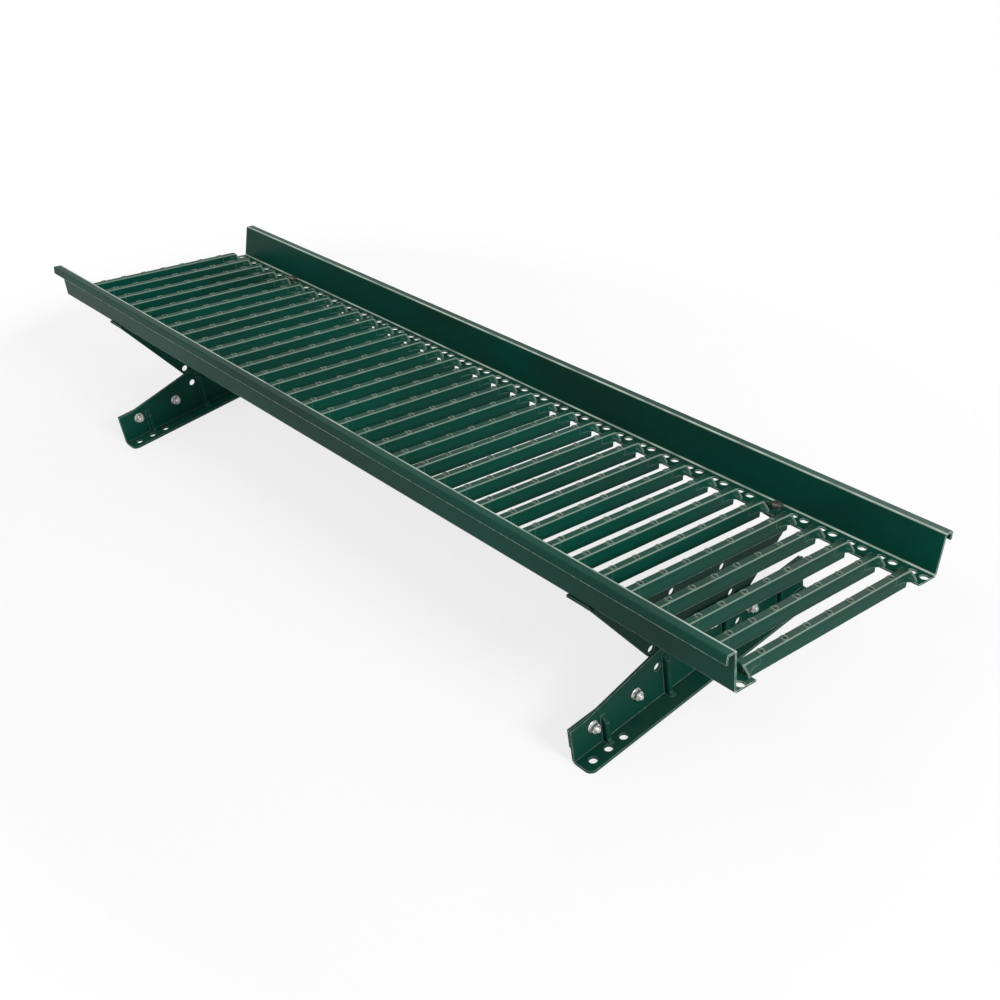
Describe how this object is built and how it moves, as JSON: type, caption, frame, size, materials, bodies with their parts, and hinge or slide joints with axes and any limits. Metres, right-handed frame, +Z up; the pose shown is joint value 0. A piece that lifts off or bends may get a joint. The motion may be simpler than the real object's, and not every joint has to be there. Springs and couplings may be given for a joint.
{
  "type": "roof walkway platform",
  "caption": "Folded steel roof walkway platform with grip slats between two rails, on two bolted brackets that tilt to the roof slope.",
  "frame": {"origin": "on the roof plane, straight below the middle of the deck", "axes": "+X along the walkway, +Y up the slope of the roof (horizontal), +Z up"},
  "size_m": [1.2559, 0.3519, 0.2179],
  "materials": {
    "green_coat": "satin powder coat, moss green",
    "zinc": "zinc plated"
  },
  "bodies": {
    "platform": {"near_rail": "green_coat", "far_rail": "green_coat", "slat_01": "green_coat", "slat_02": "green_coat", "slat_03": "green_coat", "slat_04": "green_coat", "slat_05": "green_coat", "slat_06": "green_coat", "slat_07": "green_coat", "slat_08": "green_coat", "slat_09": "green_coat", "slat_10": "green_coat", "slat_11": "green_coat", "slat_12": "green_coat", "slat_13": "green_coat", "slat_14": "green_coat", "slat_15": "green_coat", "slat_16": "green_coat", "slat_17": "green_coat", "slat_18": "green_coat", "slat_19": "green_coat", "slat_20": "green_coat", "slat_21": "green_coat", "slat_22": "green_coat", "slat_23": "green_coat", "slat_24": "green_coat", "slat_25": "green_coat", "slat_26": "green_coat", "slat_27": "green_coat", "slat_28": "green_coat", "slat_29": "green_coat", "slat_30": "green_coat", "slat_31": "green_coat", "slat_32": "green_coat", "slat_33": "green_coat", "slat_34": "green_coat", "slat_35": "green_coat", "left_upper_bracket": "green_coat", "right_upper_bracket": "green_coat", "deck_bolts": "zinc", "deck_spacers": "zinc", "deck_nuts": "zinc"},
    "left_arm": {"left_roof_arm": "green_coat", "left_low_clamp_plate": "green_coat", "left_high_clamp_plate": "green_coat", "left_pivot_bolt": "zinc", "left_lock_bolts": "zinc", "left_joint_nuts": "zinc", "left_clamp_bolts": "zinc", "left_clamp_washers": "zinc", "left_clamp_nuts": "zinc"},
    "right_arm": {"right_roof_arm": "green_coat", "right_low_clamp_plate": "green_coat", "right_high_clamp_plate": "green_coat", "right_pivot_bolt": "zinc", "right_lock_bolts": "zinc", "right_joint_nuts": "zinc", "right_clamp_bolts": "zinc", "right_clamp_washers": "zinc", "right_clamp_nuts": "zinc"}
  },
  "joints": [
    {"name": "left_slope", "type": "hinge", "parent": "platform", "child": "left_arm", "pos_m": [-0.47502, 0, 0.04431], "axis": [1, 0, 0], "range_deg": [-11, 7]},
    {"name": "right_slope", "type": "hinge", "parent": "platform", "child": "right_arm", "pos_m": [0.4398, 0, 0.04431], "axis": [1, 0, 0], "range_deg": [-11, 7]}
  ]
}
